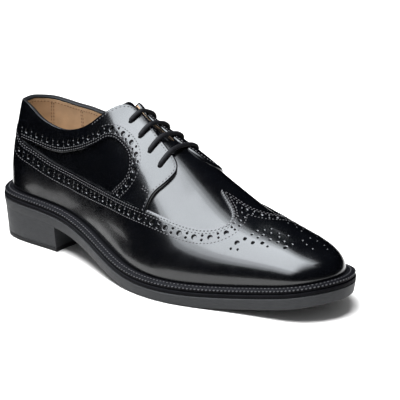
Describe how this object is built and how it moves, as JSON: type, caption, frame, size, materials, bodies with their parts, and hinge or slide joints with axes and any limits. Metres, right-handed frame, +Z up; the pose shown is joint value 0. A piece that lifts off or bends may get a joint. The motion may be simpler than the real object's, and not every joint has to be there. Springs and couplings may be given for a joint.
{
  "type": "wingtip shoe",
  "caption": "Black leather wingtip shoe for the right foot: longwing derby with open lacing, punched overlays, a hollow lasted upper, welted sole and block heel.",
  "frame": {"origin": "on the floor, under the middle of the sole's length and width", "axes": "+X towards the toe, +Y towards the wearer's inner (medial) side, +Z up from the floor"},
  "size_m": [0.3012, 0.1085, 0.1118],
  "materials": {
    "sole": "satin",
    "lift": "matte",
    "welt": "satin",
    "lining": "matte",
    "vamp_leather": "gloss",
    "overlay_leather": "gloss",
    "lace": "waxed"
  },
  "bodies": {
    "root": {"outsole": "sole", "heel_block": "sole", "heel_lift": "lift", "welt": "welt", "insole": "lining", "upper": "vamp_leather", "tongue": "vamp_leather", "wing_cap": "overlay_leather", "facing_lateral": "overlay_leather", "facing_medial": "overlay_leather", "heel_strip": "overlay_leather", "lace_bar_1": "lace", "lace_bar_2": "lace", "lace_bar_3": "lace", "lace_bar_4": "lace"}
  },
  "joints": []
}
